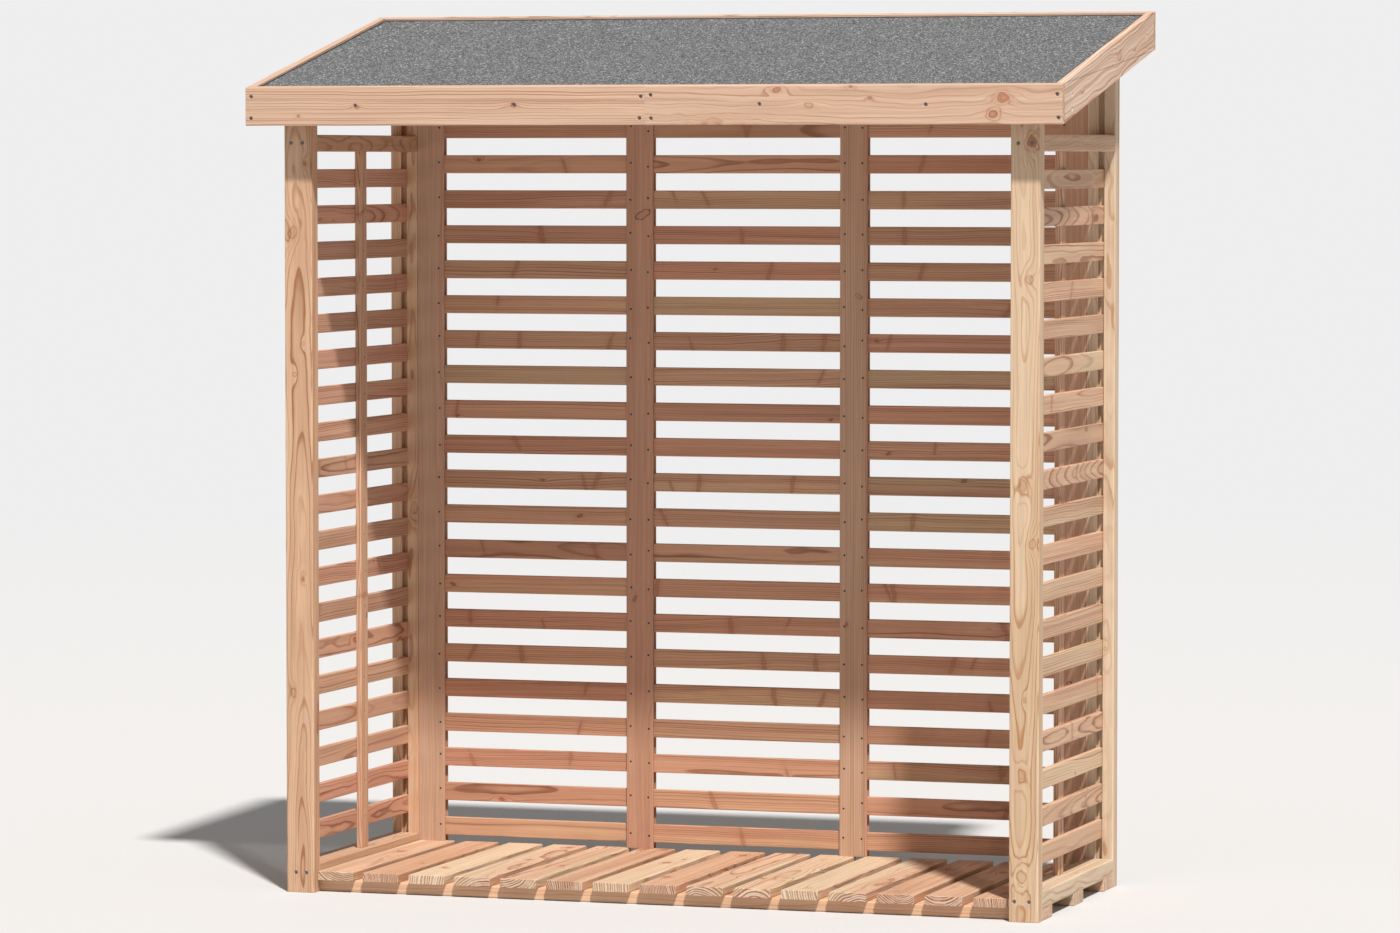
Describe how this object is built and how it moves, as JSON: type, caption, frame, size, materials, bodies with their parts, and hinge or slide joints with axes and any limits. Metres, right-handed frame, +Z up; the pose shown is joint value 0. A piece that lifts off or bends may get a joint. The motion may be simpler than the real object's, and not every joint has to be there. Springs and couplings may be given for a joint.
{
  "type": "log store",
  "caption": "Open-fronted timber log store with grooved posts, slatted sides and back, a raised slatted floor and a single-pitch felted roof with a fascia all round.",
  "frame": {"origin": "on the ground under the middle of the roof", "axes": "+Z up, the open front faces -Y, +X to the right as seen from the front"},
  "size_m": [2, 0.88, 2.1091],
  "materials": {
    "frame_timber": "planed, untreated",
    "slat_timber": "planed, untreated",
    "floor_timber": "planed, untreated",
    "roof_timber": "planed, untreated",
    "fascia_timber": "planed, untreated",
    "roof_felt": "mineral granules on bitumen felt"
  },
  "bodies": {
    "root": {"front_post_left": "frame_timber", "front_post_right": "frame_timber", "rear_post_left": "frame_timber", "rear_post_right": "frame_timber", "top_rail_left": "frame_timber", "top_rail_right": "frame_timber", "bottom_rail_left": "frame_timber", "bottom_rail_right": "frame_timber", "side_slats_left": "slat_timber", "side_slats_right": "slat_timber", "side_batten_left": "slat_timber", "side_batten_right": "slat_timber", "back_stile_left": "frame_timber", "back_stile_mid_left": "frame_timber", "back_stile_mid_right": "frame_timber", "back_stile_right": "frame_timber", "back_slats_left": "slat_timber", "back_slats_middle": "slat_timber", "back_slats_right": "slat_timber", "bearer_front": "floor_timber", "bearer_middle": "floor_timber", "bearer_rear": "floor_timber", "floor_boards": "floor_timber", "roof_beam_front": "frame_timber", "roof_beam_rear": "frame_timber", "roof_boards": "roof_timber", "roof_felt": "roof_felt", "fascia_front_left": "fascia_timber", "fascia_front_right": "fascia_timber", "fascia_rear_left": "fascia_timber", "fascia_rear_right": "fascia_timber", "fascia_side_left": "fascia_timber", "fascia_side_right": "fascia_timber", "fascia_block_front": "roof_timber", "fascia_block_rear": "roof_timber"}
  },
  "joints": []
}
